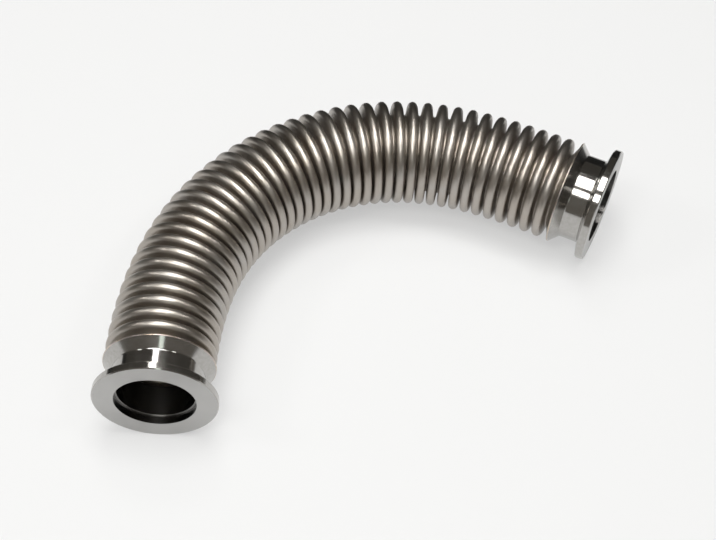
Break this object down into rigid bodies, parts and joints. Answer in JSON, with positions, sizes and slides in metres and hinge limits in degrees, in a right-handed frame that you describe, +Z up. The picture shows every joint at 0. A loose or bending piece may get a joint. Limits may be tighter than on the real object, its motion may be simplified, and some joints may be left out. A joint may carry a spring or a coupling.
{
  "type": "vacuum bellows hose",
  "caption": "Bent corrugated metal vacuum hose with a small clamp flange, ring seat and weld collar at each end.",
  "frame": {"origin": "centre of the near port's sealing face", "axes": "-Y out of the near port; the hose leaves along +Y and bends level towards +X; +Z up"},
  "size_m": [0.1734, 0.1264, 0.04],
  "materials": {
    "turned_steel": "turned stainless steel, satin sealing faces and polished necks",
    "bellows_steel": "bright-rolled thin stainless steel, formed into convolutions",
    "weld_steel": "fused stainless steel bead with faint straw heat tint"
  },
  "bodies": {
    "root": {"near_flange": "turned_steel", "far_flange": "turned_steel", "bellows_tube": "bellows_steel", "near_weld": "weld_steel", "far_weld": "weld_steel"}
  },
  "joints": []
}
